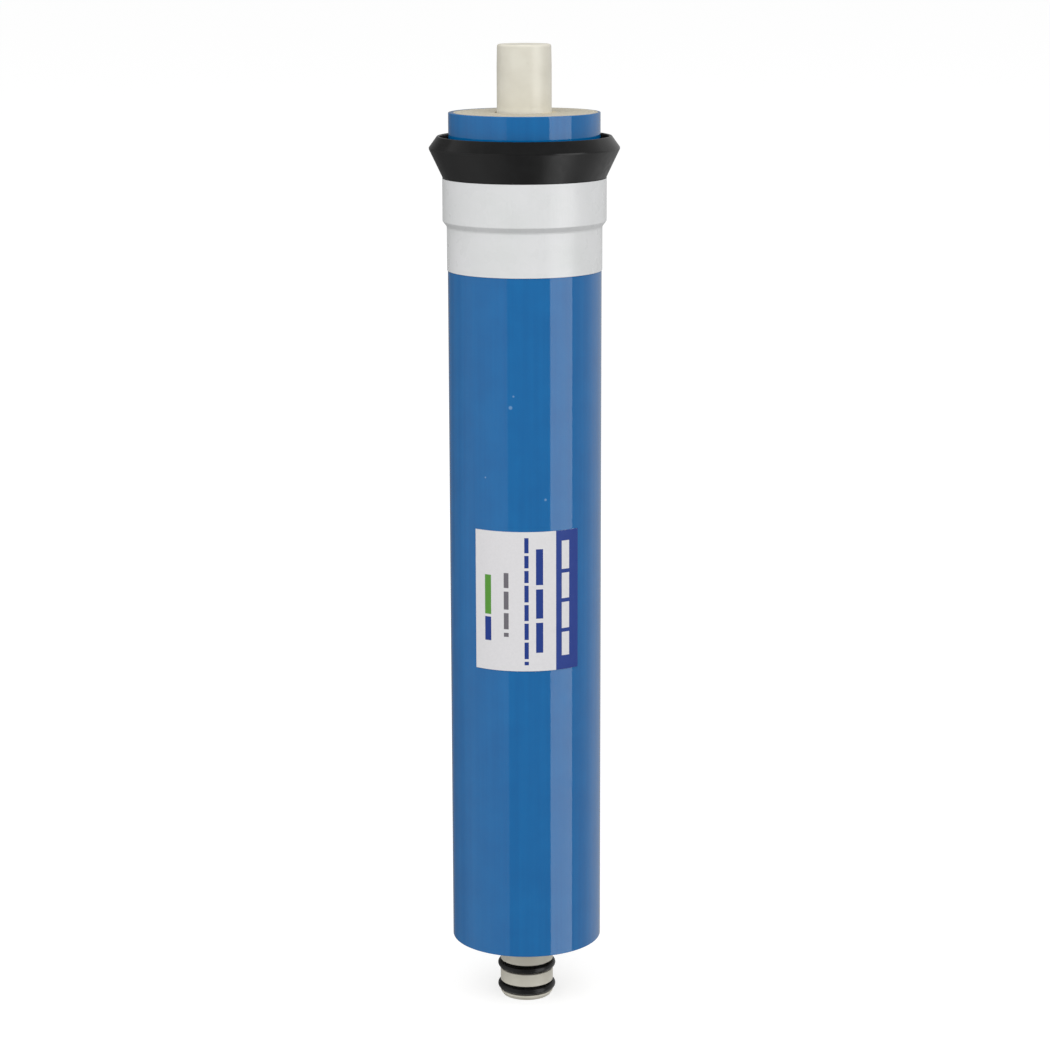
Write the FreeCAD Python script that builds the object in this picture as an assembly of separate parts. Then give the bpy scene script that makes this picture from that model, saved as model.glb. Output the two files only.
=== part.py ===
"""Spiral-wound reverse osmosis membrane element of the 1812 size, in millimetres.

The element stands on its permeate spigot. The origin is the centre of the spigot's end face and +Z runs
up the permeate tube, towards the feed end. The printed label faces -Y.

From the axis outwards: a permeate tube with one closed end, a leaf of folded membrane round a feed
spacer, wound on the tube together with a permeate carrier, an outer wrap of tape, a rubber brine seal
and the tape that holds it, and a label. Two O-rings sit in grooves of the spigot.
"""

import FreeCAD, Part
import math
import os

V = FreeCAD.Vector

# ---- Lengths along the axis ----
SPIGOT_LENGTH = 20.3        # end face of the spigot to the roll
ROLL_LENGTH = 258.0         # wound roll, trimmed square at both ends
STUB_LENGTH = 20.1          # closed end of the tube, past the roll

# ---- Permeate tube ----
TUBE_R = 8.3
STUB_R = 8.2                # straight land of the stub, which seats in the cap's recess
STUB_LAND = 12.0            # length of that land
STUB_LAND_RISE = 1.5        # the tube narrows to it above the roll
STUB_TIP_R = 8.07           # from there a draft leads to the closed end
STUB_EDGE_R = 0.65          # rounding of the closed end
NOSE_INSET = 0.75           # chamfer that leads the spigot into its socket
NOSE_HEIGHT = 1.1
BORE_R = 5.0                # permeate channel, from the spigot's end face to the closed end
BORE_CHAMFER = 0.4
END_WALL = 3.0              # thickness of the closed end
HOLE_R = 1.2                # cross holes that let the permeate in
HOLE_PITCH = 42.0
HOLE_MARGIN = 24.0          # first cross hole from the end of the roll

# ---- O-rings ----
O_RING_SECTION = 2.4
O_RING_OD = 18.2
O_RING_LOWER_Z = 3.1
O_RING_SPACING = 7.0
GROOVE_WIDTH = 3.1

# ---- Sheets of the roll ----
FIT_GAP = 0.03              # working clearance between pieces that lie on each other
SKIN_GAP = 0.10             # the same, under the label and the white tape
TURNS = 7
BACK = 90                   # direction in which the roll starts and ends, degrees from +X
CARRIER_T = 0.36            # permeate carrier, a knitted fabric
MEMBRANE_T = 0.21
SPACER_T = 0.86             # feed spacer, a net
CORE_TAPE_T = 0.10          # tape that starts the carrier on the tube
CORE_TAPE_WIDTH = 15.0
CORE_TAPE_MARGIN = 8.0      # it stops short of both ends of the roll
GLUE_BAND = 25.0            # width of each line of glue
CORE_GLUE_START = 1.2       # where the glue beside the tube starts and ends, in half turns
CORE_GLUE_END = 1.88

# ---- Outer wrap ----
WRAP_T = 0.27               # thinnest wall, over the leaf's outer edge
WRAP_EXTRA_T = 0.44         # further turns of tape below the brine seal

# ---- Brine seal, its heights measured down from the roll's feed end ----
SEAL_TOP = 7.0              # top rim of the lip
RIM_WIDTH = 0.75
RIM_R_OVER_WRAP = 3.4
RIDGE_DROP = 3.6            # sharp outer ridge below the rim
RIDGE_LAND = 0.5
RIDGE_R_OVER_WRAP = 5.83
LIP_HEIGHT = 12.5           # rim to the foot of the lip's cone
SLEEVE_T = 1.67
SLEEVE_LENGTH = 13.3        # foot of the cone to the end of the sleeve
SLEEVE_CHAMFER = 0.5
GROOVE_DEPTH = 8.6          # groove between the lip and the sleeve
GROOVE_FLOOR = 0.9
INNER_LEG_T = 1.0
INNER_LEG_DROP = 2.2        # the sleeve's inner leg stops below the rim

# ---- Tape over the brine seal's sleeve ----
TAPE_T = 0.10
TAPE_BELOW_SLEEVE = 14.3    # length of tape on the wrap, past the sleeve
TAPE_SLOPE = 1.0            # fall of the tape from the sleeve's edge to the wrap, per unit of run
TAPE_FOOT = 0.25            # last part of that run, twice as steep

# ---- Label ----
LABEL_T = 0.08
LABEL_RISE = 91.5           # above the roll's lower edge
LABEL_HEIGHT = 43.1
LABEL_WIDTH = 33.5          # along the curve
FRONT = 270                 # degrees from +X
LABEL_TURN = 1.1            # its middle, towards +X from the front, degrees

# ---- Worked out from the sizes above ----
ROLL_BOTTOM = SPIGOT_LENGTH
ROLL_TOP = ROLL_BOTTOM + ROLL_LENGTH
TUBE_TOP = ROLL_TOP + STUB_LENGTH

PITCH = CARRIER_T + 2 * MEMBRANE_T + SPACER_T + 4 * FIT_GAP
MEMBRANE_IN = CARRIER_T + FIT_GAP                   # offsets of each sheet from the wound line
SPACER_IN = MEMBRANE_IN + MEMBRANE_T + FIT_GAP
MEMBRANE_OUT = SPACER_IN + SPACER_T + FIT_GAP
HALF_TURNS = 2 * TURNS
ROLL_START_R = TUBE_R + CORE_TAPE_T + 2 * FIT_GAP
ROLL_MAX_R = ROLL_START_R + (TURNS + 1) * PITCH

WRAP_TOP_R = ROLL_MAX_R + WRAP_T
WRAP_R = WRAP_TOP_R + WRAP_EXTRA_T
SLEEVE_IN_R = WRAP_TOP_R + FIT_GAP
SLEEVE_R = SLEEVE_IN_R + SLEEVE_T
LIP_TOP = ROLL_TOP - SEAL_TOP
LIP_FOOT = LIP_TOP - LIP_HEIGHT
SLEEVE_BOTTOM = LIP_FOOT - SLEEVE_LENGTH


def at(radius, height):
    """A point of a profile that is turned about the axis."""
    return V(radius, 0, height)


def polar(centre, radius, degrees):
    a = math.radians(degrees)
    return centre + V(radius * math.cos(a), radius * math.sin(a), 0)


def line(a, b):
    return Part.LineSegment(a, b).toShape()


def arc(a, through, b):
    return Part.Arc(a, through, b).toShape()


def turned(edges):
    """Solid of revolution of a closed outline."""
    return Part.Face(Part.Wire(edges)).revolve(V(0, 0, 0), V(0, 0, 1), 360)


def outline(points):
    """Straight edges through the points, closed."""
    return [line(a, b) for a, b in zip(points, points[1:] + points[:1])]


def prism(edges, bottom, height):
    """Upright solid on a closed outline that was drawn at height 0."""
    solid = Part.Face(Part.Wire(edges)).extrude(V(0, 0, height))
    solid.translate(V(0, 0, bottom))
    return solid


# ---- The wound line: half circles whose centres change sides, so that each half turn is half a pitch
# ---- wider than the one before. Places along it are counted in half turns from the back of the tube.

def wound_circle(index, offset):
    """Centre and radius of one half turn of the line, shifted outwards by an offset."""
    shift = PITCH / 4 if index % 2 else -PITCH / 4
    return polar(V(0, 0, 0), shift, BACK), ROLL_START_R + PITCH / 4 + index * PITCH / 2 + offset


def wound_point(offset, place):
    index = min(int(place), HALF_TURNS - 1)
    centre, radius = wound_circle(index, offset)
    return polar(centre, radius, BACK + 180 * place)


def wound_edges(offset, start=0.0, end=HALF_TURNS):
    """Arcs of the line from one place to another."""
    edges = []
    for index in range(int(start), math.ceil(end)):
        centre, radius = wound_circle(index, offset)
        first = BACK + 180 * max(index, start)
        last = BACK + 180 * min(index + 1, end)
        edges.append(
            arc(
                polar(centre, radius, first),
                polar(centre, radius, (first + last) / 2),
                polar(centre, radius, last),
            )
        )
    return edges


def crossing(offset_a, offset_b, place):
    """Straight edge across a sheet."""
    return line(wound_point(offset_a, place), wound_point(offset_b, place))


def wound_sheet(inner, thickness, start=0.0, end=HALF_TURNS):
    outer = inner + thickness
    return prism(
        wound_edges(inner, start, end)
        + [crossing(inner, outer, end)]
        + wound_edges(outer, start, end)[::-1]
        + [crossing(outer, inner, start)],
        ROLL_BOTTOM,
        ROLL_LENGTH,
    )


def fold_edge(offset_a, offset_b):
    """Half circle that joins two offsets of the line at its start, on the side away from the sheets."""
    a, b = wound_point(offset_a, 0), wound_point(offset_b, 0)
    return arc(a, (a + b) * 0.5 + V((b - a).Length / 2, 0, 0), b)


def membrane_leaf():
    """One sheet of membrane, folded round the feed spacer's inner edge."""
    in_a, in_b = MEMBRANE_IN, MEMBRANE_IN + MEMBRANE_T
    out_a, out_b = MEMBRANE_OUT, MEMBRANE_OUT + MEMBRANE_T
    return prism(
        wound_edges(in_a)
        + [crossing(in_a, in_b, HALF_TURNS)]
        + wound_edges(in_b)[::-1]
        + [fold_edge(in_b, out_a)]
        + wound_edges(out_a)
        + [crossing(out_a, out_b, HALF_TURNS)]
        + wound_edges(out_b)[::-1]
        + [fold_edge(out_b, in_a)],
        ROLL_BOTTOM,
        ROLL_LENGTH,
    )


def seam_start():
    """Where the line of glue at the leaf's outer edge takes over from the carrier."""
    radius = wound_circle(HALF_TURNS - 1, 0)[1]
    return HALF_TURNS - GLUE_BAND / (math.pi * radius)


def permeate_carrier():
    return wound_sheet(0, CARRIER_T, 0.0, seam_start())


def seam_glue():
    gap = FIT_GAP / (math.pi * ROLL_MAX_R)
    return wound_sheet(0, CARRIER_T, seam_start() + gap, HALF_TURNS)


def feed_spacer():
    return wound_sheet(SPACER_IN, SPACER_T)


def core_tape():
    """Strip of tape between the tube and the first turn of the carrier."""
    inner = TUBE_R + FIT_GAP
    outer = inner + CORE_TAPE_T
    width = math.degrees(CORE_TAPE_WIDTH / inner)
    middle, end = BACK + width / 2, BACK + width
    axis = V(0, 0, 0)
    return prism(
        [
            arc(polar(axis, inner, BACK), polar(axis, inner, middle), polar(axis, inner, end)),
            line(polar(axis, inner, end), polar(axis, outer, end)),
            arc(polar(axis, outer, end), polar(axis, outer, middle), polar(axis, outer, BACK)),
            line(polar(axis, outer, BACK), polar(axis, inner, BACK)),
        ],
        ROLL_BOTTOM + CORE_TAPE_MARGIN,
        ROLL_LENGTH - 2 * CORE_TAPE_MARGIN,
    )


def core_glue():
    """Glue that seals the leaf to the tube at both ends, in the wedge under the first turn."""
    start, end = CORE_GLUE_START, CORE_GLUE_END
    inner = TUBE_R + FIT_GAP
    first, last = BACK + 180 * start, BACK + 180 * end
    axis = V(0, 0, 0)
    a, b = polar(axis, inner, first), polar(axis, inner, last)
    wedge = (
        wound_edges(-FIT_GAP, start, end)
        + [line(wound_point(-FIT_GAP, end), b)]
        + [arc(b, polar(axis, inner, (first + last) / 2), a)]
        + [line(a, wound_point(-FIT_GAP, start))]
    )
    ends = [prism(wedge, z, GLUE_BAND) for z in (ROLL_BOTTOM, ROLL_TOP - GLUE_BAND)]
    return Part.makeCompound(ends)


def tube_outline():
    groove_r = O_RING_OD / 2 - O_RING_SECTION - FIT_GAP
    points = [at(BORE_R + BORE_CHAMFER, 0), at(TUBE_R - NOSE_INSET, 0), at(TUBE_R, NOSE_HEIGHT)]
    for centre_z in (O_RING_LOWER_Z, O_RING_LOWER_Z + O_RING_SPACING):
        low, high = centre_z - GROOVE_WIDTH / 2, centre_z + GROOVE_WIDTH / 2
        points += [at(TUBE_R, low), at(groove_r, low), at(groove_r, high), at(TUBE_R, high)]
    land_z = ROLL_TOP + STUB_LAND_RISE
    points += [at(TUBE_R, ROLL_TOP), at(STUB_R, land_z), at(STUB_R, land_z + STUB_LAND)]
    points.append(at(STUB_TIP_R, TUBE_TOP - STUB_EDGE_R))
    edges = [line(a, b) for a, b in zip(points, points[1:])]

    round_centre = at(STUB_TIP_R - STUB_EDGE_R, TUBE_TOP - STUB_EDGE_R)
    slant = STUB_EDGE_R * math.sqrt(0.5)
    top = at(STUB_TIP_R - STUB_EDGE_R, TUBE_TOP)
    edges.append(arc(points[-1], round_centre + at(slant, slant), top))

    inside = [
        top,
        at(0, TUBE_TOP),
        at(0, TUBE_TOP - END_WALL),
        at(BORE_R, TUBE_TOP - END_WALL),
        at(BORE_R, BORE_CHAMFER),
        points[0],
    ]
    return edges + [line(a, b) for a, b in zip(inside, inside[1:])]


def permeate_tube():
    """Tube with one closed end, two O-ring grooves and cross holes along the roll."""
    tube = turned(tube_outline())
    count = int((ROLL_LENGTH - 2 * HOLE_MARGIN) / HOLE_PITCH) + 1
    reach = TUBE_R + 1
    drills = []
    for i in range(count):
        z = ROLL_BOTTOM + HOLE_MARGIN + i * HOLE_PITCH
        along = V(0, 1, 0) if i % 2 else V(1, 0, 0)
        drills.append(Part.makeCylinder(HOLE_R, 2 * reach, V(0, 0, z) - along * reach, along))
    return tube.cut(drills)


def o_ring(centre_z):
    radius = O_RING_SECTION / 2
    return Part.makeTorus(O_RING_OD / 2 - radius, radius, V(0, 0, centre_z))


def outer_wrap():
    """Tape wound on the roll. It is round outside and follows the leaf's last turn inside."""
    step_z = SLEEVE_BOTTOM - 2 * FIT_GAP
    body = Part.makeCylinder(WRAP_R, step_z - ROLL_BOTTOM, V(0, 0, ROLL_BOTTOM))
    neck = Part.makeCylinder(WRAP_TOP_R, ROLL_LENGTH, V(0, 0, ROLL_BOTTOM))
    last_turn = HALF_TURNS - 2
    hollow = wound_edges(PITCH, last_turn, HALF_TURNS)
    hollow.append(line(wound_point(PITCH, HALF_TURNS), wound_point(PITCH, last_turn)))
    return body.fuse(neck).cut(prism(hollow, ROLL_BOTTOM, ROLL_LENGTH))


def brine_seal():
    """Rubber sleeve with a flared lip, and a groove behind the lip that opens to the feed end."""
    rim_r = WRAP_TOP_R + RIM_R_OVER_WRAP
    ridge_r = WRAP_TOP_R + RIDGE_R_OVER_WRAP
    ridge_z = LIP_TOP - RIDGE_DROP
    leg_r = SLEEVE_IN_R + INNER_LEG_T
    floor_z = LIP_TOP - GROOVE_DEPTH
    section = [
        at(SLEEVE_IN_R, SLEEVE_BOTTOM),
        at(SLEEVE_R - SLEEVE_CHAMFER, SLEEVE_BOTTOM),
        at(SLEEVE_R, SLEEVE_BOTTOM + SLEEVE_CHAMFER),
        at(SLEEVE_R, LIP_FOOT),
        at(ridge_r, ridge_z - RIDGE_LAND / 2),
        at(ridge_r, ridge_z + RIDGE_LAND / 2),
        at(rim_r, LIP_TOP),
        at(rim_r - RIM_WIDTH, LIP_TOP),
        at(leg_r + GROOVE_FLOOR, floor_z),
        at(leg_r, floor_z),
        at(leg_r, LIP_TOP - INNER_LEG_DROP),
        at(SLEEVE_IN_R, LIP_TOP - INNER_LEG_DROP),
    ]
    return turned(outline(section))


def tape_side(stand_off):
    """One face of the tape in section, from its top edge down: on the sleeve, over the sleeve's
    chamfer, down a slope that eases out at its foot, and along the wrap."""
    bend = stand_off * math.tan(math.radians(22.5))
    sleeve_r, wrap_r = SLEEVE_R + stand_off, WRAP_R + stand_off
    edge_z = SLEEVE_BOTTOM + SLEEVE_CHAMFER + bend
    slope_top = at(sleeve_r - SLEEVE_CHAMFER, edge_z - SLEEVE_CHAMFER)
    foot_r = wrap_r + TAPE_FOOT
    foot_z = slope_top.z - (slope_top.x - foot_r) * TAPE_SLOPE
    return [
        at(sleeve_r, LIP_FOOT),
        at(sleeve_r, edge_z),
        slope_top,
        at(foot_r, foot_z),
        at(wrap_r, foot_z - TAPE_FOOT * 2 * TAPE_SLOPE),
        at(wrap_r, SLEEVE_BOTTOM - TAPE_BELOW_SLEEVE),
    ]


def seal_tape():
    """White tape wound half on the seal's sleeve and half on the wrap."""
    return turned(outline(tape_side(SKIN_GAP) + tape_side(SKIN_GAP + TAPE_T)[::-1]))


def label():
    """Adhesive label on the front of the wrap."""
    inner = WRAP_R + SKIN_GAP
    outer = inner + LABEL_T
    half = math.degrees(LABEL_WIDTH / 2 / inner)
    first, middle, last = (FRONT + LABEL_TURN + side * half for side in (-1, 0, 1))
    axis = V(0, 0, 0)
    return prism(
        [
            arc(polar(axis, inner, first), polar(axis, inner, middle), polar(axis, inner, last)),
            line(polar(axis, inner, last), polar(axis, outer, last)),
            arc(polar(axis, outer, last), polar(axis, outer, middle), polar(axis, outer, first)),
            line(polar(axis, outer, first), polar(axis, inner, first)),
        ],
        ROLL_BOTTOM + LABEL_RISE,
        LABEL_HEIGHT,
    )


def main():
    os.makedirs("parts", exist_ok=True)
    pieces = {
        "permeate_tube": permeate_tube(),
        "o_ring_lower": o_ring(O_RING_LOWER_Z),
        "o_ring_upper": o_ring(O_RING_LOWER_Z + O_RING_SPACING),
        "core_tape": core_tape(),
        "core_glue": core_glue(),
        "permeate_carrier": permeate_carrier(),
        "membrane_leaf": membrane_leaf(),
        "feed_spacer": feed_spacer(),
        "seam_glue": seam_glue(),
        "outer_wrap": outer_wrap(),
        "brine_seal": brine_seal(),
        "seal_tape": seal_tape(),
        "label": label(),
    }
    for node, shape in pieces.items():
        shape.exportStep(f"parts/{node}.step")
        print(node, len(shape.Solids), "solid(s), valid", shape.isValid(), round(shape.Volume, 1), "mm3")


main()
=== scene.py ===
import math
import random

import bmesh
import bpy
from mathutils import Matrix, Vector


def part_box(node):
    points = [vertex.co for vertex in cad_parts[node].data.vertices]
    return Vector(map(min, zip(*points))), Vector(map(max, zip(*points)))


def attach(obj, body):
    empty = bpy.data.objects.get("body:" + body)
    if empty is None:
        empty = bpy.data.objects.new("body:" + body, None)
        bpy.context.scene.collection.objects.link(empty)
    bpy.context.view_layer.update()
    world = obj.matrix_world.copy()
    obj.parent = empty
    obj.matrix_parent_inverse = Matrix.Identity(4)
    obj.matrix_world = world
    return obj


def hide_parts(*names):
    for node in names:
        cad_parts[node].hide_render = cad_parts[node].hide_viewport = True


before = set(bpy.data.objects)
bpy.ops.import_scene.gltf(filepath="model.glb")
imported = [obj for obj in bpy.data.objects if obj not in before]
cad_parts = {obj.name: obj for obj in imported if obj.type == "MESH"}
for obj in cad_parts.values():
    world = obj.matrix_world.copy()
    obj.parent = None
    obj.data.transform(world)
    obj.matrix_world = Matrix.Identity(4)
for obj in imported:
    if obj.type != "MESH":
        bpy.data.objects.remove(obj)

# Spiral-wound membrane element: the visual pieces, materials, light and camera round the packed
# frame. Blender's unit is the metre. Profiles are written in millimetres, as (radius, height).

MM = 0.001
SEED = 1812
TURN = 2 * math.pi

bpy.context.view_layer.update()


def extent(node):
    """Lowest and highest point of a CAD node, and its reach from the axis, in millimetres."""
    low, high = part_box(node)
    return low[2] / MM, high[2] / MM, high[0] / MM


# ---- Sizes that the pieces share, in millimetres ----
TUBE_TOP, TUBE_R = extent("permeate_tube")[1:]
ROLL_BOTTOM, ROLL_TOP, WRAP_R = extent("outer_wrap")
SLEEVE_BOTTOM, LIP_TOP, RIDGE_R = extent("brine_seal")
TAPE_BOTTOM, LIP_FOOT, TAPE_R = extent("seal_tape")
LABEL_BOTTOM, LABEL_TOP = extent("label")[:2]
WRAP_EXTRA_T = 0.44     # the wrap is this much thinner under the seal and above it
SEAL_GAP = 0.03         # between the wrap and the seal's sleeve
SKIN_GAP = 0.10         # under the white tape and the label
TAPE_T = 0.10
RIDGE_DROP = 3.6        # from the lip's top to its ridge
WRAP_TOP_R = WRAP_R - WRAP_EXTRA_T
SLEEVE_IN_R = WRAP_TOP_R + SEAL_GAP
SLEEVE_R = TAPE_R - TAPE_T - SKIN_GAP
RIDGE_Z = LIP_TOP - RIDGE_DROP
ROLL_PITCH, ROLL_TURNS, ROLL_START_R = 1.76, 7, 8.46
BACK = math.radians(90)     # angle from +X at which the roll's half turns meet


# ---- Mesh helpers ----

def new_object(name, bm, smooth_angle=30):
    """Makes an object of a bmesh, smooth except across edges sharper than the angle."""
    limit = math.radians(smooth_angle)
    for face in bm.faces:
        face.smooth = True
    for edge in bm.edges:
        edge.smooth = len(edge.link_faces) == 2 and edge.calc_face_angle(math.pi) < limit
    mesh = bpy.data.meshes.new(name)
    bm.to_mesh(mesh)
    bm.free()
    obj = bpy.data.objects.new(name, mesh)
    bpy.context.scene.collection.objects.link(obj)
    return obj


ON_AXIS = 1e-9
LONGEST_RUN = 0.45      # the most that a rounded corner takes of the edges beside it


def rounded(points, radii, steps=5):
    """Closed profile whose corners, by their index, are replaced by arcs of the given radii."""
    result = []
    for i, corner in enumerate(points):
        here = Vector(corner)
        if i not in radii:
            result.append(tuple(here))
            continue
        before = Vector(points[i - 1]) - here
        after = Vector(points[(i + 1) % len(points)]) - here
        angle = before.angle(after)
        run = radii[i] / math.tan(angle / 2)
        run = min(run, LONGEST_RUN * before.length, LONGEST_RUN * after.length)
        radius = run * math.tan(angle / 2)
        inwards = (before.normalized() + after.normalized()).normalized()
        centre = here + inwards * (radius / math.sin(angle / 2))
        start = here + before.normalized() * run - centre
        end = here + after.normalized() * run - centre
        sweep = start.angle_signed(end)
        for k in range(steps + 1):
            turned = Matrix.Rotation(-sweep * k / steps, 2) @ start
            result.append(tuple(centre + turned))
    return result


def supported(profile, near=0.25, closed=True):
    """Adds a point near each end of every long run, so that smooth shading keeps to the corners."""
    result = []
    for here, after in zip(profile, profile[1:] + profile[:1] if closed else profile[1:]):
        a, b = Vector(here), Vector(after)
        result.append(here)
        if (b - a).length > 4 * near and max(a.x, b.x) > 0:
            step = (b - a).normalized() * near
            result += [tuple(a + step), tuple(b - step)]
    return result if closed else result + profile[-1:]


def row(bm, radius, height, angles):
    """Points at one height, at a radius that is a number or follows the angle, in mm."""
    points = []
    for a in angles:
        r = radius(a) if callable(radius) else radius
        points.append(bm.verts.new((r * math.cos(a) * MM, r * math.sin(a) * MM, height * MM)))
    return points


def join(bm, lower, upper, closed=True):
    """Faces between two rows, triangles where a row is one point. A closed row meets its start."""
    for k in range(len(lower) if closed else len(lower) - 1):
        n = (k + 1) % len(lower)
        corners = []
        for vert in (lower[k], lower[n], upper[n], upper[k]):
            if vert not in corners:
                corners.append(vert)
        if len(corners) > 2:
            bm.faces.new(corners)


def full_turn(segments):
    return [TURN * k / segments for k in range(segments)]


def lathe(name, profile, segments=192):
    """Turns a closed profile about Z."""
    bm = bmesh.new()
    rings = []
    for radius, height in supported(profile):
        if radius < ON_AXIS:
            rings.append([bm.verts.new((0, 0, height * MM))] * segments)
        else:
            rings.append(row(bm, radius, height, full_turn(segments)))
    for lower, upper in zip(rings, rings[1:] + rings[:1]):
        join(bm, lower, upper)
    bmesh.ops.recalc_face_normals(bm, faces=bm.faces)
    return new_object(name, bm)


def dress(obj, material, node):
    """Rides the piece on the part, in place of its CAD node."""
    obj.data.materials.append(material)
    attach(obj, "root")
    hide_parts(node)


# ---- Material helpers ----

class Nodes:
    """Builds one node material, with positions read in the part's own frame."""

    def __init__(self, name, **sockets):
        self.material = bpy.data.materials.new(name)
        self.material.use_nodes = True
        self.tree = self.material.node_tree
        self.shader = self.tree.nodes["Principled BSDF"]
        for socket, value in sockets.items():
            self.shader.inputs[socket.replace("_", " ")].default_value = value
        self.place = self.tree.nodes.new("ShaderNodeTexCoord").outputs["Object"]

    def add(self, kind, **values):
        node = self.tree.nodes.new("ShaderNode" + kind)
        for key, value in values.items():
            setattr(node, key, value)
        return node

    def link(self, source, target):
        self.tree.links.new(source, target)

    def stretched(self, x, y, z):
        """The position, scaled along each axis."""
        node = self.add("Mapping")
        node.inputs["Scale"].default_value = (x, y, z)
        self.link(self.place, node.inputs["Vector"])
        return node.outputs["Vector"]

    def noise(self, size_mm, detail=3.0, roughness=0.5, place=None):
        """Noise whose features are about the given size."""
        node = self.add("TexNoise")
        node.inputs["Scale"].default_value = 1 / (size_mm * MM)
        node.inputs["Detail"].default_value = detail
        node.inputs["Roughness"].default_value = roughness
        self.link(place or self.place, node.inputs["Vector"])
        return node.outputs["Fac"]

    def spread(self, value, low, high, to_low, to_high, smooth=False):
        """Maps a range of a value to another range."""
        node = self.add("MapRange", interpolation_type="SMOOTHSTEP" if smooth else "LINEAR")
        numbers = {"From Min": low, "From Max": high, "To Min": to_low, "To Max": to_high}
        for socket, number in numbers.items():
            node.inputs[socket].default_value = number
        self.link(value, node.inputs["Value"])
        return node.outputs["Result"]

    def maths(self, operation, a, b):
        """One step of arithmetic, on numbers or sockets."""
        node = self.add("Math", operation=operation)
        for socket, value in zip(node.inputs, (a, b)):
            if isinstance(value, (int, float)):
                socket.default_value = value
            else:
                self.link(value, socket)
        return node.outputs["Value"]

    def mix(self, factor, a, b):
        """Blend of two colours, each a colour or a socket."""
        node = self.add("Mix", data_type="RGBA")
        self.link(factor, node.inputs["Factor"])
        for socket, value in ((node.inputs[6], a), (node.inputs[7], b)):
            if isinstance(value, tuple):
                socket.default_value = (*value, 1)
            else:
                self.link(value, socket)
        return node.outputs[2]

    def bump(self, height, depth_mm, strength=1.0, under=None):
        """Relief of the given depth, on top of another bump."""
        node = self.add("Bump")
        node.inputs["Strength"].default_value = strength
        node.inputs["Distance"].default_value = depth_mm * MM
        self.link(height, node.inputs["Height"])
        if under is not None:
            self.link(under, node.inputs["Normal"])
        return node.outputs["Normal"]

    def coordinate(self, axis):
        """Position along one axis, in metres."""
        node = self.add("SeparateXYZ")
        self.link(self.place, node.inputs["Vector"])
        return node.outputs[axis]

    def speck(self, at, radius_mm):
        """1 inside a small soft spot at a point, 0 outside."""
        node = self.add("VectorMath", operation="DISTANCE")
        self.link(self.place, node.inputs[0])
        node.inputs[1].default_value = at
        reach = radius_mm * MM
        return self.spread(node.outputs["Value"], 0.4 * reach, reach, 1, 0, smooth=True)

    def colour(self, socket):
        self.link(socket, self.shader.inputs["Base Color"])

    def roughness(self, socket):
        self.link(socket, self.shader.inputs["Roughness"])

    def normal(self, socket):
        self.link(socket, self.shader.inputs["Normal"])


def on_cylinder(radius_mm, degrees, height_mm):
    """A point on the roll, by its angle from the front towards +X and its height."""
    a = math.radians(degrees)
    return Vector((radius_mm * math.sin(a), -radius_mm * math.cos(a), height_mm)) * MM


DUST_SPECKS = (
    # degrees from the front, height and radius in mm
    (-10.8, 192.6, 0.75),
    (-8.6, 196.0, 0.4),
    (15.0, 164.6, 0.5),
    (-31.0, 171.0, 0.35),
)


def wrap_tape():
    """Glossy blue vinyl tape: faint streaks from stretching, rub marks and a few specks of dust."""
    m = Nodes("wrap_tape", Specular_IOR_Level=0.27, IOR=1.45)
    mottle = m.noise(9, 4)
    streaks = m.noise(1.6, 2, place=m.stretched(1, 1, 0.02))
    tone = m.spread(m.maths("ADD", mottle, streaks), 0.7, 1.3, 0, 1)
    blue = m.mix(tone, (0.0008, 0.119, 0.349), (0.0015, 0.138, 0.387))
    specks = None
    for degrees, height, radius in DUST_SPECKS:
        spot = m.speck(on_cylinder(WRAP_R, degrees, height), radius)
        specks = spot if specks is None else m.maths("MAXIMUM", specks, spot)
    dust = m.maths("MULTIPLY", specks, 0.30)
    m.colour(m.mix(dust, blue, (0.45, 0.62, 0.78)))
    rub = m.spread(m.noise(14, 5, 0.65), 0.58, 0.72, 0, 1, smooth=True)
    polish = m.spread(rub, 0, 1, 0.055, 0.13)
    m.roughness(m.maths("ADD", polish, m.maths("MULTIPLY", specks, 0.2)))
    wave = m.bump(m.noise(26, 1, 0.3, place=m.stretched(1, 1, 0.35)), 0.10, 0.35)
    grain = m.bump(m.noise(0.5, 2), 0.004, 0.25, under=wave)
    m.normal(m.bump(specks, 0.05, 0.3, under=grain))
    return m.material


def tube_plastic():
    """Natural moulded plastic, slightly mottled, with fine turning marks round the tube."""
    m = Nodes("tube_plastic", Specular_IOR_Level=0.4, IOR=1.45)
    cloud = m.noise(6, 3)
    cream = m.mix(m.spread(cloud, 0.3, 0.7, 0, 1), (0.665, 0.635, 0.54), (0.72, 0.695, 0.60))
    stain = m.spread(m.noise(2.2, 5, 0.7), 0.62, 0.78, 0, 0.35, smooth=True)
    m.colour(m.mix(stain, cream, (0.56, 0.52, 0.42)))
    m.roughness(m.spread(m.noise(3, 3), 0.3, 0.7, 0.32, 0.46))
    rings = m.bump(m.noise(0.35, 1, place=m.stretched(0.02, 0.02, 1)), 0.01, 0.35)
    m.normal(m.bump(m.noise(0.25, 2), 0.004, 0.3, under=rings))
    return m.material


CREASES_FROM, CREASES_FULL = 236.0, 244.5   # heights between which the tape's creases grow


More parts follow.
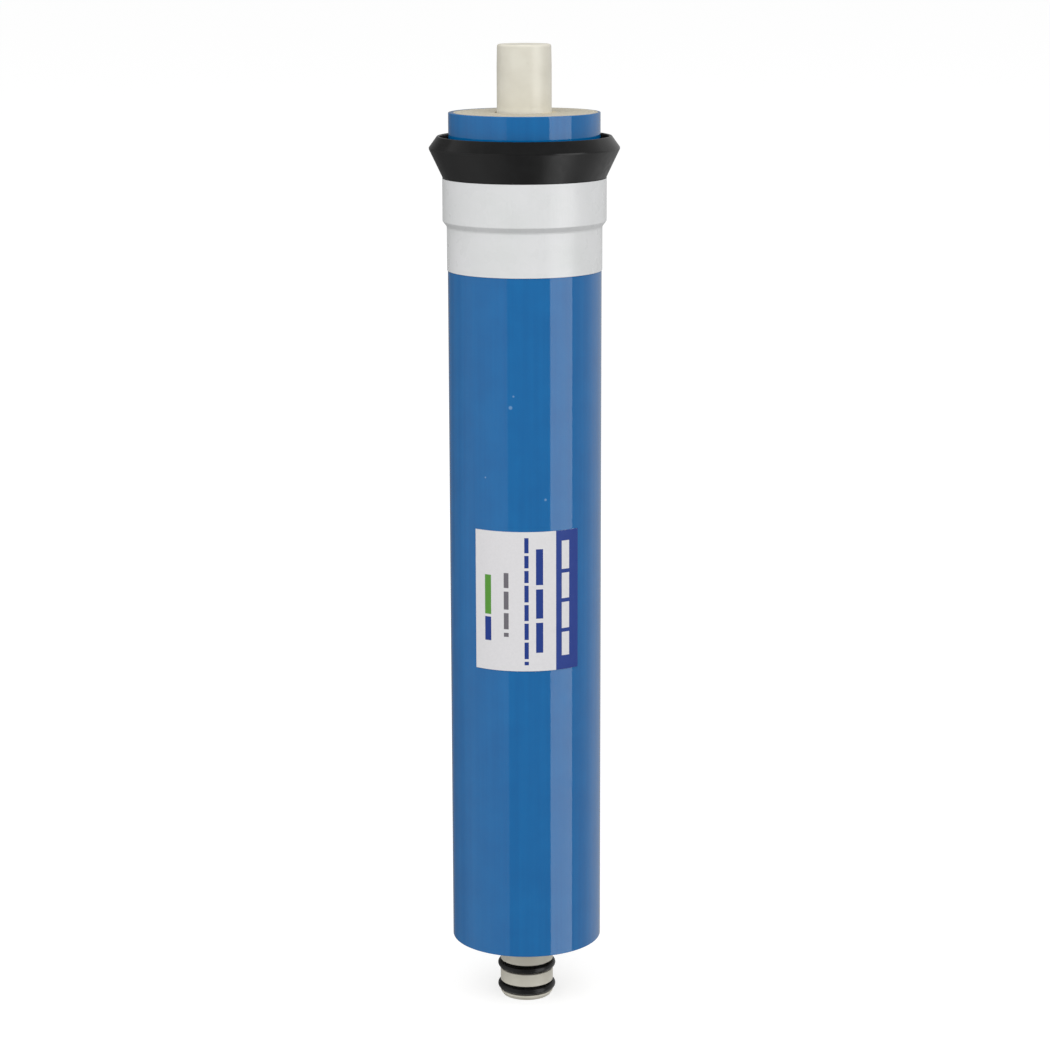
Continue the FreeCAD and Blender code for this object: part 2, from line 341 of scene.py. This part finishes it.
def white_tape():
    """Smooth white vinyl tape, with faint creases where it is drawn down over the sleeve's edge."""
    m = Nodes("seal_tape", Specular_IOR_Level=0.22, IOR=1.45)
    cloud = m.noise(12, 3)
    white = m.mix(m.spread(cloud, 0.3, 0.7, 0, 1), (0.705, 0.718, 0.715), (0.75, 0.755, 0.762))
    grime = m.spread(m.noise(3, 5, 0.7), 0.68, 0.85, 0, 0.12, smooth=True)
    m.colour(m.mix(grime, white, (0.62, 0.61, 0.58)))
    m.roughness(m.spread(m.noise(5, 3), 0.3, 0.7, 0.24, 0.34))
    low, high = CREASES_FROM * MM, CREASES_FULL * MM
    near_step = m.spread(m.coordinate("Z"), low, high, 0, 1, smooth=True)
    creases = m.maths("MULTIPLY", m.noise(1.8, 2, place=m.stretched(1, 1, 0.12)), near_step)
    folds = m.bump(creases, 0.12, 0.35)
    m.normal(m.bump(m.noise(18, 1, place=m.stretched(1, 1, 0.4)), 0.08, 0.3, under=folds))
    return m.material


LIP_SMOOTHNESS = 0.55   # roughness above the ridge, as a share of that below it


def rubber(name, base, sheen, rough, depth, smooth_above=None):
    """Moulded black rubber with a fine skin and a trace of bloom, smoother above a height in mm."""
    m = Nodes(name, Specular_IOR_Level=sheen, IOR=1.45)
    bloom = m.spread(m.noise(4, 4, 0.6), 0.4, 0.75, 0, 1)
    dark, pale = (base * 0.8,) * 3, (base * 1.5, base * 1.55, base * 1.6)
    dust = m.spread(m.noise(0.8, 4, 0.7), 0.66, 0.8, 0, 0.2, smooth=True)
    m.colour(m.mix(dust, m.mix(bloom, dark, pale), (0.04, 0.04, 0.038)))
    roughness = m.spread(m.noise(2, 3), 0.3, 0.7, rough - 0.05, rough + 0.07)
    if smooth_above is not None:
        low, high = (smooth_above - 0.1) * MM, (smooth_above + 0.1) * MM
        share = m.spread(m.coordinate("Z"), low, high, 1, LIP_SMOOTHNESS)
        roughness = m.maths("MULTIPLY", roughness, share)
    m.roughness(roughness)
    skin = m.bump(m.noise(0.3, 3), depth, 0.4)
    m.normal(m.bump(m.noise(7, 2), 0.10, 0.3, under=skin))
    return m.material


def sheet_edge(name, light, dark, cell_mm, depth):
    """Cut edge of one of the wound sheets, a mix of fibres or strands and the recesses between them, which are
    painted darker as shade.
    """
    m = Nodes(name, Specular_IOR_Level=0.2, IOR=1.45, Roughness=0.75)
    cells = m.add("TexVoronoi")
    cells.inputs["Scale"].default_value = 1 / (cell_mm * MM)
    m.link(m.place, cells.inputs["Vector"])
    shaded_gaps = m.spread(cells.outputs["Distance"], 0.25, 0.6, 0, 1, smooth=True)
    stain = m.noise(5, 3)
    body = m.mix(m.spread(stain, 0.35, 0.7, 0, 1), light, tuple(0.9 * c for c in light))
    # the spaces between fibres or strands take the dark colour: painted shade in the recesses
    m.colour(m.mix(shaded_gaps, body, dark))
    m.roughness(m.spread(shaded_gaps, 0, 1, 0.6, 0.85))
    m.normal(m.bump(shaded_gaps, -depth, 0.5))
    return m.material


def printed(name, colour, rough=0.5):
    """One ink, or the bare face, of the coated label."""
    m = Nodes(name, Specular_IOR_Level=0.15, IOR=1.45)
    cloud = m.noise(0.8, 4, 0.65)
    m.colour(m.mix(m.spread(cloud, 0.3, 0.7, 0, 1), tuple(0.95 * c for c in colour), colour))
    m.roughness(m.spread(m.noise(3, 3), 0.3, 0.7, rough - 0.05, rough + 0.08))
    m.normal(m.bump(m.noise(0.25, 3), 0.006, 0.3))
    return m.material


# ---- Pieces ----

O_RINGS = ("o_ring_lower", "o_ring_upper")


def make_tube(material):
    """Permeate tube: closed stub with a straight land, and a spigot with two O-ring grooves."""
    bore_r, groove_r, land_r, tip_r = 5.0, 6.67, 8.2, 8.07
    groove_side, cap_t = 0.35, 3
    land_start, land_end = ROLL_TOP + 1.5, ROLL_TOP + 13.5
    outline = [(bore_r + 0.4, 0), (TUBE_R - 0.75, 0), (TUBE_R, 1.1)]
    for node in O_RINGS:
        low, high = extent(node)[:2]
        low, high = low - groove_side, high + groove_side
        outline += [(TUBE_R, low), (groove_r, low), (groove_r, high), (TUBE_R, high)]
    outline += [
        (TUBE_R, ROLL_TOP), (land_r, land_start), (land_r, land_end), (tip_r, TUBE_TOP),
        (0, TUBE_TOP), (0, TUBE_TOP - cap_t), (bore_r, TUBE_TOP - cap_t), (bore_r, 0.4),
    ]
    radii = {1: 0.2, 2: 0.25, 14: 0.65}
    for first in (3, 7):
        radii |= {first: 0.12, first + 1: 0.3, first + 2: 0.3, first + 3: 0.12}
    tube = lathe("tube", rounded(outline, radii))
    dress(tube, material, "permeate_tube")


def make_o_ring(name, node, material):
    """Round rubber ring that fills its node's box."""
    steps = 40
    low, high, outer_r = extent(node)
    section_r, centre_z = (high - low) / 2, (high + low) / 2
    centre_r = outer_r - section_r
    profile = [
        (centre_r + section_r * math.cos(a), centre_z + section_r * math.sin(a))
        for a in full_turn(steps)
    ]
    dress(lathe(name, profile, 160), material, node)


def tape_end(angle):
    """The wrap's outer turn ends in a thin step at the back, and thins out beyond it."""
    step, end_at, fade = 0.06, math.radians(128), math.radians(70)
    return -step * max(0.0, 1 - (angle - end_at) % TURN / fade)


def inner_radius(angle):
    """Inside of the wrap, which follows the roll's last turn: two half circles with a step."""
    turned = (angle - BACK) % TURN
    index = 2 * ROLL_TURNS - 2 if turned < math.pi else 2 * ROLL_TURNS - 1
    side = 1 if index % 2 else -1
    shift = side * ROLL_PITCH / 4
    radius = ROLL_START_R + ROLL_PITCH / 4 + index * ROLL_PITCH / 2 + ROLL_PITCH
    s, c = math.sin(angle), math.cos(angle)
    return shift * s + math.sqrt(radius * radius - (shift * c) ** 2)


def make_wrap(material):
    """Tube of tape, round outside and following the roll inside."""
    segments, edge, step_gap, sliver = 256, 0.12, 0.06, 1e-6
    step_z = SLEEVE_BOTTOM - step_gap
    outside = supported([
        (WRAP_R - edge, ROLL_BOTTOM), (WRAP_R - 0.3 * edge, ROLL_BOTTOM + 0.3 * edge),
        (WRAP_R, ROLL_BOTTOM + edge), (WRAP_R, step_z), (WRAP_TOP_R, step_z),
        (WRAP_TOP_R, ROLL_TOP - edge), (WRAP_TOP_R - 0.3 * edge, ROLL_TOP - 0.3 * edge),
        (WRAP_TOP_R - edge, ROLL_TOP),
    ], closed=False)
    angles = [
        BACK + sliver + (TURN - 2 * sliver) * k / (segments - 1) for k in range(segments)
    ]
    bm = bmesh.new()
    rings = [row(bm, lambda a: radius + tape_end(a), height, angles) for radius, height in outside]
    rings += [row(bm, inner_radius, height, angles) for height in (ROLL_TOP, ROLL_BOTTOM)]
    for lower, upper in zip(rings, rings[1:] + rings[:1]):
        join(bm, lower, upper, closed=False)
    bmesh.ops.remove_doubles(bm, verts=bm.verts, dist=1e-8)
    bmesh.ops.holes_fill(bm, edges=[e for e in bm.edges if e.is_boundary])
    bmesh.ops.recalc_face_normals(bm, faces=bm.faces)
    dress(new_object("wrap", bm), material, "outer_wrap")


def make_seal(material):
    """Brine seal: sleeve, flared lip and the groove behind it, with small moulded radii."""
    rim_r = WRAP_TOP_R + 3.4
    leg_r = SLEEVE_IN_R + 1.0
    floor_z, leg_top = LIP_TOP - 8.6, LIP_TOP - 2.2
    section = [
        (SLEEVE_IN_R, SLEEVE_BOTTOM), (SLEEVE_R - 0.5, SLEEVE_BOTTOM),
        (SLEEVE_R, SLEEVE_BOTTOM + 0.5), (SLEEVE_R, LIP_FOOT), (RIDGE_R, RIDGE_Z - 0.25), (RIDGE_R, RIDGE_Z + 0.25),
        (rim_r, LIP_TOP), (rim_r - 0.75, LIP_TOP), (leg_r + 0.9, floor_z),
        (leg_r, floor_z), (leg_r, leg_top), (SLEEVE_IN_R, leg_top),
    ]
    radii = {3: 0.4, 4: 0.18, 5: 0.18, 6: 0.3, 7: 0.3, 8: 0.3, 9: 0.3, 10: 0.2, 11: 0.15}
    seal = lathe("brine_seal_skin", rounded(section, radii), 256)
    dress(seal, material, "brine_seal")


def make_seal_tape(material):
    """White tape, tight on the sleeve, drawn down over its edge and tight again on the wrap."""
    edge_z = SLEEVE_BOTTOM + 0.5

    def side(stand_off):
        upper, lower = SLEEVE_R + stand_off, WRAP_R + stand_off
        slope = [(upper, edge_z), (lower + 0.15, edge_z - 1.45), (lower, edge_z - 1.9)]
        return [(upper, LIP_FOOT), *slope, (lower, TAPE_BOTTOM)]

    outline = side(SKIN_GAP) + side(SKIN_GAP + TAPE_T)[::-1]
    radii = {1: 0.35, 2: 0.3, 3: 0.6, 6: 0.6, 7: 0.3, 8: 0.5}
    tape = lathe("seal_tape_skin", rounded(outline, radii, 6), 224)
    dress(tape, material, "seal_tape")


# ---- Label: bare fields and bars of ink, cut as faces, in mm from its left and top edges ----
LABEL_MIDDLE_DEG, LABEL_WIDTH, LABEL_T = 1.1, 33.5, 0.08
LABEL_HEIGHT = LABEL_TOP - LABEL_BOTTOM
LABEL_R = WRAP_R + SKIN_GAP + LABEL_T
BAND_START = 25.7
PRINT_LINES = (
    # ink, from and to across the label, from and to down it, mean length of a dash, gap
    ("paper", 27.6, 30.2, 3.2, 38.8, 8.5, 1.2),
    ("navy", 19.4, 21.6, 5.3, 37.4, 11.0, 1.3),
    ("navy", 15.9, 17.2, 1.8, 41.2, 4.6, 0.8),
    ("grey", 9.6, 11.1, 12.7, 32.5, 6.0, 1.1),
    ("green", 3.4, 5.5, 13.6, 25.8, 12.2, 1.0),
    ("navy", 3.4, 5.5, 26.6, 34.0, 7.4, 1.0),
)


def dashes(start, end, length, gap, source):
    """Breaks a bar into dashes of about the given length."""
    spans, place = [], start
    while place < end - 0.5:
        stop = min(end, place + length * source.uniform(0.75, 1.25))
        if end - stop < gap + 1.0:
            stop = end
        spans.append((place, stop))
        place = stop + gap
    return spans


def make_label(inks):
    """Sheet bent round the wrap, whose front faces take the ink that lies on them."""
    source = random.Random(SEED)
    bars = []
    for ink, left, right, top, bottom, length, gap in PRINT_LINES:
        bars += [(ink, left, right, a, b) for a, b in dashes(top, bottom, length, gap, source)]
    across = {0, BAND_START, LABEL_WIDTH, *range(1, int(LABEL_WIDTH))}
    across = sorted(across | {x for bar in bars for x in bar[1:3]})
    down = sorted({0, LABEL_HEIGHT} | {y for bar in bars for y in bar[3:5]})

    def ink_at(x, y):
        for ink, left, right, top, bottom in bars:
            if left < x < right and top < y < bottom:
                return ink
        return "navy" if x > BAND_START else "paper"

    def point(x, y, radius):
        degrees = LABEL_MIDDLE_DEG + math.degrees((x - LABEL_WIDTH / 2) / (WRAP_R + SKIN_GAP))
        return on_cylinder(radius, degrees, LABEL_TOP - y)

    bm = bmesh.new()
    order = list(inks)
    front = [[bm.verts.new(point(x, y, LABEL_R)) for x in across] for y in down]
    back = [[bm.verts.new(point(x, y, LABEL_R - LABEL_T)) for x in across] for y in down]
    for j in range(len(down) - 1):
        for i in range(len(across) - 1):
            p, q = i + 1, j + 1
            face = bm.faces.new((front[q][i], front[q][p], front[j][p], front[j][i]))
            middle = (across[i] + across[p]) / 2, (down[j] + down[q]) / 2
            face.material_index = order.index(ink_at(*middle))
            bm.faces.new((back[j][i], back[j][p], back[q][p], back[q][i]))
    rim = [(j, 0) for j in range(len(down))] + [(len(down) - 1, i) for i in range(1, len(across))]
    rim += [(j, len(across) - 1) for j in range(len(down) - 2, -1, -1)]
    rim += [(0, i) for i in range(len(across) - 2, 0, -1)]
    for (j, i), (q, p) in zip(rim, rim[1:] + rim[:1]):
        bm.faces.new((front[j][i], back[j][i], back[q][p], front[q][p]))
    bmesh.ops.recalc_face_normals(bm, faces=bm.faces)
    label = new_object("label_sheet", bm)
    for ink in order:
        label.data.materials.append(inks[ink])
    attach(label, "root")
    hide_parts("label")


SHEET_EDGES = (
    # nodes, material, light colour of the fibres or strands and dark colour painted as shade between them, size and
    # depth in mm of the fibres or strands
    (("membrane_leaf",), "membrane_edge", (0.60, 0.565, 0.47), (0.54, 0.50, 0.41), 0.22, 0.02),
    (("permeate_carrier",), "carrier_edge", (0.58, 0.545, 0.45), (0.50, 0.46, 0.37), 0.20, 0.03),
    (("feed_spacer",), "spacer_edge", (0.56, 0.525, 0.43), (0.45, 0.415, 0.33), 0.45, 0.06),
    (("seam_glue", "core_glue"), "glue_edge", (0.66, 0.60, 0.45), (0.58, 0.51, 0.37), 1.5, 0.05),
)


def paint_node(node, material):
    """Gives a CAD mesh its material."""
    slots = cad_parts[node].data.materials
    slots.clear()
    slots.append(material)


# ---- Light, floor and camera ----

def lamp(name, azimuth, half_angle, distance, low, high, radiance, diffuse, glossy):
    """Upright panel facing the element, by its azimuth from the front towards +X in degrees."""
    a = math.radians(azimuth)
    data = bpy.data.lights.new(name, "AREA")
    data.shape = "RECTANGLE"
    data.size = 2 * distance * math.tan(math.radians(half_angle))
    data.size_y = high - low
    data.energy = math.pi * radiance * data.size * data.size_y
    obj = bpy.data.objects.new(name, data)
    bpy.context.scene.collection.objects.link(obj)
    place = Vector((math.sin(a), -math.cos(a), 0)) * distance
    obj.location = place + Vector((0, 0, (low + high) / 2))
    obj.rotation_euler = place.to_track_quat("Z", "Y").to_euler()
    obj.visible_camera = False
    obj.visible_diffuse = diffuse
    obj.visible_glossy = glossy


def seen_directly(tree):
    """1 for rays from the camera, off gloss or through glass."""
    path = tree.nodes.new("ShaderNodeLightPath")
    total = path.outputs["Is Camera Ray"]
    for name in ("Is Glossy Ray", "Is Transmission Ray"):
        node = tree.nodes.new("ShaderNodeMath")
        node.operation = "MAXIMUM"
        tree.links.new(total, node.inputs[0])
        tree.links.new(path.outputs[name], node.inputs[1])
        total = node.outputs["Value"]
    return total


def make_world(ambient):
    """White to the camera and in reflections, and a softer level on matt surfaces."""
    world = bpy.data.worlds.new("studio")
    bpy.context.scene.world = world
    world.use_nodes = True
    tree = world.node_tree
    background = tree.nodes["Background"]
    background.inputs["Color"].default_value = (1, 1, 1, 1)
    span = tree.nodes.new("ShaderNodeMapRange")
    span.inputs["To Min"].default_value = ambient
    span.inputs["To Max"].default_value = 1.0
    tree.links.new(seen_directly(tree), span.inputs["Value"])
    tree.links.new(span.outputs["Result"], background.inputs["Strength"])


def make_floor(colour, lift):
    """Plain pale floor with the shadow, lifted to white for the camera and clear from below."""
    bm = bmesh.new()
    bmesh.ops.create_circle(bm, cap_ends=True, radius=30, segments=64)
    floor = new_object("floor", bm)
    floor.location.z = -0.02 * MM
    m = Nodes("floor")
    m.tree.nodes.remove(m.shader)
    diffuse, glow, clear = m.add("BsdfDiffuse"), m.add("Emission"), m.add("BsdfTransparent")
    diffuse.inputs["Color"].default_value = (*colour, 1)
    m.link(m.maths("MULTIPLY", seen_directly(m.tree), lift), glow.inputs["Strength"])
    both, choice = m.add("AddShader"), m.add("MixShader")
    m.link(diffuse.outputs[0], both.inputs[0])
    m.link(glow.outputs[0], both.inputs[1])
    from_below = m.add("NewGeometry").outputs["Backfacing"]
    by_camera = m.add("LightPath").outputs["Is Camera Ray"]
    m.link(m.maths("MULTIPLY", from_below, by_camera), choice.inputs[0])
    m.link(both.outputs[0], choice.inputs[1])
    m.link(clear.outputs[0], choice.inputs[2])
    m.link(choice.outputs[0], m.tree.nodes["Material Output"].inputs["Surface"])
    floor.data.materials.append(m.material)
    floor.visible_glossy = False


# Brightness of the studio round the element, as its gloss sees it: azimuth in degrees, radiance.
STUDIO = (
    (-180, 0.3), (-142, 0.2), (-115, 0.55), (-90, 1.37), (-60, 1.72), (-26.5, 1.72),
    (-25.5, 0.95), (74, 1.0), (79, 1.28), (122, 1.28), (134, 0.97), (148, 0.7), (180, 0.3),
)
PEAK = 2.0      # radiance at which the colour ramp is 1


def make_reflector(radius, half_height):
    """Ring of graded panels round the element, which only its gloss sees."""
    bm = bmesh.new()
    angles = [a - BACK for a in full_turn(96)]
    low, high = (row(bm, radius / MM, z / MM, angles) for z in (-half_height, half_height))
    join(bm, low, high)
    ring = new_object("reflector", bm)
    m = Nodes("reflector")
    m.tree.nodes.remove(m.shader)
    across, towards = m.coordinate("X"), m.maths("MULTIPLY", m.coordinate("Y"), -1)
    azimuth = m.maths("ARCTAN2", across, towards)
    ramp = m.add("ValToRGB")
    m.link(m.spread(azimuth, -math.pi, math.pi, 0, 1), ramp.inputs["Fac"])
    stops = ramp.color_ramp.elements
    while len(stops) < len(STUDIO):
        stops.new(0.5)
    for stop, (degrees, level) in zip(stops, STUDIO):
        stop.position = (degrees + 180) / 360
        stop.color = (level / PEAK,) * 3 + (1,)
    glow = m.add("Emission")
    glow.inputs["Strength"].default_value = PEAK
    m.link(ramp.outputs["Color"], glow.inputs["Color"])
    m.link(glow.outputs[0], m.tree.nodes["Material Output"].inputs["Surface"])
    ring.data.materials.append(m.material)
    for kind in ("camera", "diffuse", "shadow", "transmission"):
        setattr(ring, "visible_" + kind, False)


def make_camera():
    """Long lens, a little above the element, pitched down at it."""
    data = bpy.data.cameras.new("camera")
    data.sensor_width = 36
    data.lens = 96.86
    data.clip_start, data.clip_end = 0.05, 60
    camera = bpy.data.objects.new("camera", data)
    bpy.context.scene.collection.objects.link(camera)
    pitch, roll = math.radians(90 - 11.98), math.radians(-0.17)
    camera.matrix_world = (
        Matrix.Translation((-0.00015, -0.8513, 0.3328))
        @ Matrix.Rotation(pitch, 4, "X")
        @ Matrix.Rotation(roll, 4, "Z")
    )
    bpy.context.scene.camera = camera


def main():
    make_camera()
    bpy.context.scene.view_settings.view_transform = "Standard"

    make_tube(tube_plastic())
    o_rubber = rubber("o_ring_rubber", 0.004, 0.16, 0.24, 0.004)
    for name, node in zip(("o_ring_low", "o_ring_high"), O_RINGS):
        make_o_ring(name, node, o_rubber)
    make_wrap(wrap_tape())
    make_seal(rubber("seal_rubber", 0.003, 0.17, 0.34, 0.006, RIDGE_Z))
    make_seal_tape(white_tape())
    make_label({
        "paper": printed("label_paper", (0.76, 0.75, 0.765)),
        "navy": printed("label_navy", (0.018, 0.045, 0.24)),
        "grey": printed("label_grey", (0.16, 0.15, 0.17)),
        "green": printed("label_green", (0.10, 0.30, 0.045)),
    })
    for nodes, name, light, dark, cell_mm, depth in SHEET_EDGES:
        edge = sheet_edge(name, light, dark, cell_mm, depth)
        for node in nodes:
            paint_node(node, edge)
    paint_node("core_tape", printed("core_tape", (0.70, 0.67, 0.56)))

    make_world(0.72)
    make_floor((0.48, 0.48, 0.48), 0.64)
    make_reflector(0.7, 0.7)
    lamp("strip_right", 55.6, 18.4, 0.55, -0.6, 0.6, 4.06, diffuse=False, glossy=True)
    for name, azimuth in (("key_left", -33), ("key_right", 33)):
        lamp(name, azimuth, 30, 2.0, 1.3, 3.3, 2.4, diffuse=True, glossy=False)


main()
